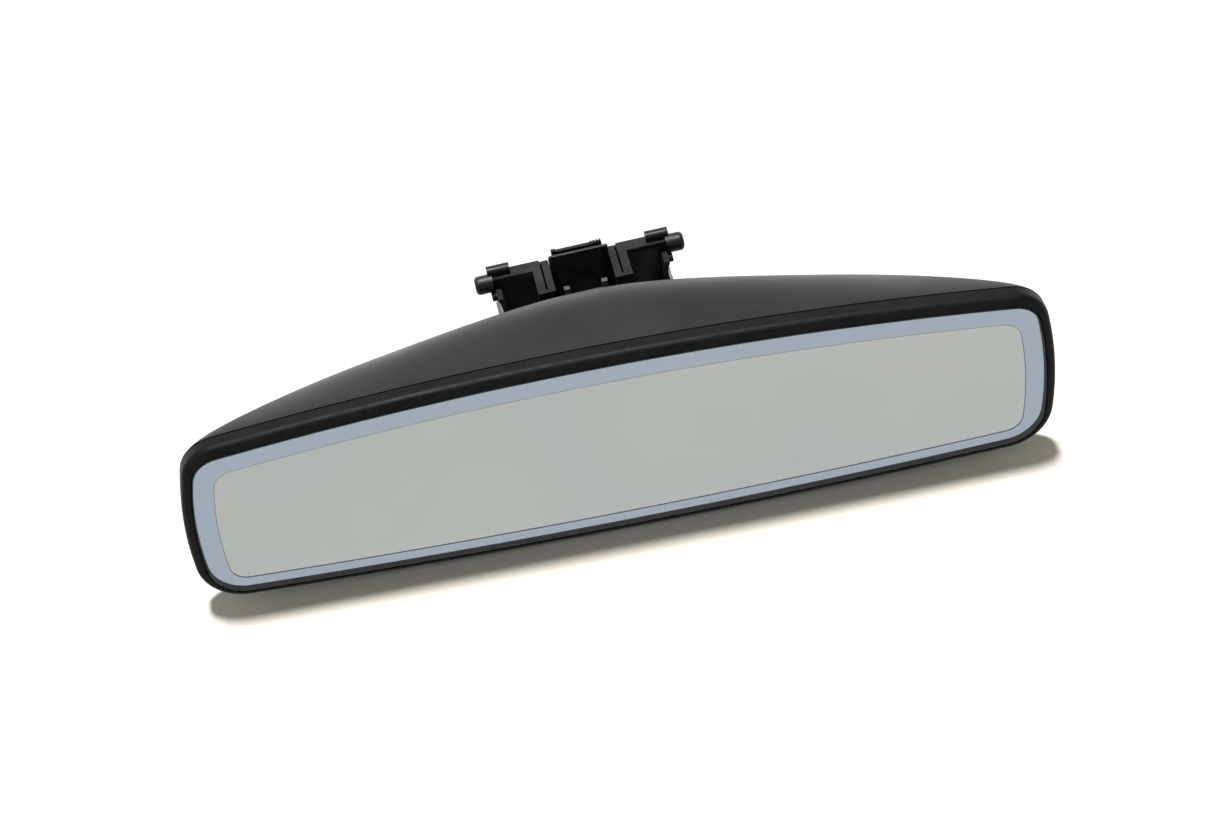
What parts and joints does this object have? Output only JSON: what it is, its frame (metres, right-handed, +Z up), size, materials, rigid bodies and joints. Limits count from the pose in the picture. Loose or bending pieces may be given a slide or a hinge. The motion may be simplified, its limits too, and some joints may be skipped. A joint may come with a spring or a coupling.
{
  "type": "interior rearview mirror",
  "caption": "Auto-dimming interior rearview mirror: bowed glass in a crowned case on a ball joint, with a moulded windscreen bracket and connector.",
  "frame": {"origin": "centre line of the bracket's flat seat face, level with the ball centre", "axes": "+X to the driver's right along the glass, +Y forward towards the windscreen, out of the seat face, +Z up; the glass faces -Y"},
  "size_m": [0.2506, 0.0661, 0.0664],
  "materials": {
    "case_abs": "satin moulded ABS, fine grain",
    "bezel_plastic": "fine-grained moulded ABS",
    "clear_plastic": "clear polycarbonate",
    "clear_glass": "clear float glass",
    "ring_chrome": "bluish chromium coating",
    "seal_epoxy": "cured epoxy",
    "gel": "clear electrochromic gel",
    "mirror_silver": "silver mirror coating",
    "plate_glass": "float glass",
    "spring_bronze": "tinned phosphor bronze",
    "black_foam": "closed-cell foam",
    "carrier_plastic": "moulded ABS",
    "zinc_steel": "zinc-plated steel",
    "board_laminate": "solder-masked laminate",
    "chip_resin": "moulded epoxy",
    "capacitor_can": "drawn aluminium",
    "header_nylon": "natural nylon",
    "sensor_resin": "dark clear epoxy",
    "harness_sleeve": "braided sleeve",
    "acetal": "moulded acetal",
    "spring_steel": "spring steel",
    "liner_nylon": "natural nylon",
    "bracket_nylon": "glass-filled nylon",
    "connector_nylon": "black nylon",
    "tin_brass": "tinned brass",
    "cast_zinc": "die-cast zinc"
  },
  "bodies": {
    "mount": {"mount_bracket": "bracket_nylon", "connector_block": "connector_nylon", "connector_cap": "connector_nylon", "connector_pins": "tin_brass", "guide_posts": "bracket_nylon", "mount_cover": "bracket_nylon", "cover_screws": "zinc_steel", "ball_stud": "cast_zinc", "stud_nut": "zinc_steel", "mount_harness": "harness_sleeve"},
    "liner": {"friction_liner": "liner_nylon"},
    "retainer": {"retainer_ring": "acetal"},
    "head": {"rear_case": "case_abs", "ambient_lens": "clear_plastic", "bezel": "bezel_plastic", "front_glass": "clear_glass", "chrome_ring": "ring_chrome", "edge_seal": "seal_epoxy", "ec_gel": "gel", "mirror_coating": "mirror_silver", "rear_glass": "plate_glass", "bus_clip_top": "spring_bronze", "bus_clip_bottom": "spring_bronze", "foam_tape": "black_foam", "carrier_plate": "carrier_plastic", "carrier_screws": "zinc_steel", "circuit_board": "board_laminate", "board_screws": "zinc_steel", "board_chips": "chip_resin", "board_capacitors": "capacitor_can", "board_header": "header_nylon", "glare_sensor": "sensor_resin", "ambient_sensor": "sensor_resin", "head_harness": "harness_sleeve", "socket_cup": "acetal", "socket_screws": "zinc_steel", "retaining_plate": "spring_steel"}
  },
  "joints": [
    {"name": "head_yaw", "type": "hinge", "parent": "mount", "child": "liner", "pos_m": [0, -0.0346, 0], "axis": [0, 0, 1], "range_deg": [-15, 15]},
    {"name": "head_pitch", "type": "hinge", "parent": "liner", "child": "retainer", "pos_m": [0, -0.0346, 0], "axis": [1, 0, 0], "range_deg": [-12, 12]},
    {"name": "head_roll", "type": "hinge", "parent": "retainer", "child": "head", "pos_m": [0, -0.0346, 0], "axis": [0, 1, 0], "range_deg": [-10, 10]}
  ]
}
